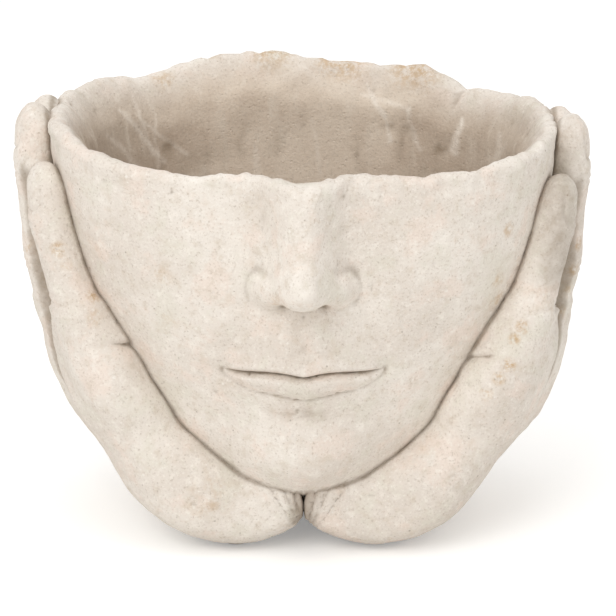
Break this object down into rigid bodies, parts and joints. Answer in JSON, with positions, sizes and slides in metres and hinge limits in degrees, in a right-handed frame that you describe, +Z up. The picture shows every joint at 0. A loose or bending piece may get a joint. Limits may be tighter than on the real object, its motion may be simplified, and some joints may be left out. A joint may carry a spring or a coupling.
{
  "type": "planter",
  "caption": "Open cement plant pot shaped as the lower half of a calm face, cupped by two hands, with a plugged drain hole and felt pads",
  "frame": {"origin": "on the floor under the middle of the whole planter's box", "axes": "+Z up, the face looks along -Y, the hand on the viewer's right is at +X"},
  "size_m": [0.2356, 0.172, 0.1782],
  "materials": {
    "bowl_cement": "rough cast cement, matt off-white with tan stains",
    "hand_cement": "rough cast cement, matt off-white with ochre stains",
    "plug_rubber": "matt black rubber",
    "pad_felt": "dark grey felt"
  },
  "bodies": {
    "planter": {"head_bowl": "bowl_cement", "left_hand": "hand_cement", "right_hand": "hand_cement", "foot_pads": "pad_felt"},
    "plug": {"drain_plug": "plug_rubber"}
  },
  "joints": [
    {"name": "plug_lift", "type": "slide", "parent": "planter", "child": "plug", "axis": [0, 0, 1], "range_m": [0, 0.18]}
  ]
}
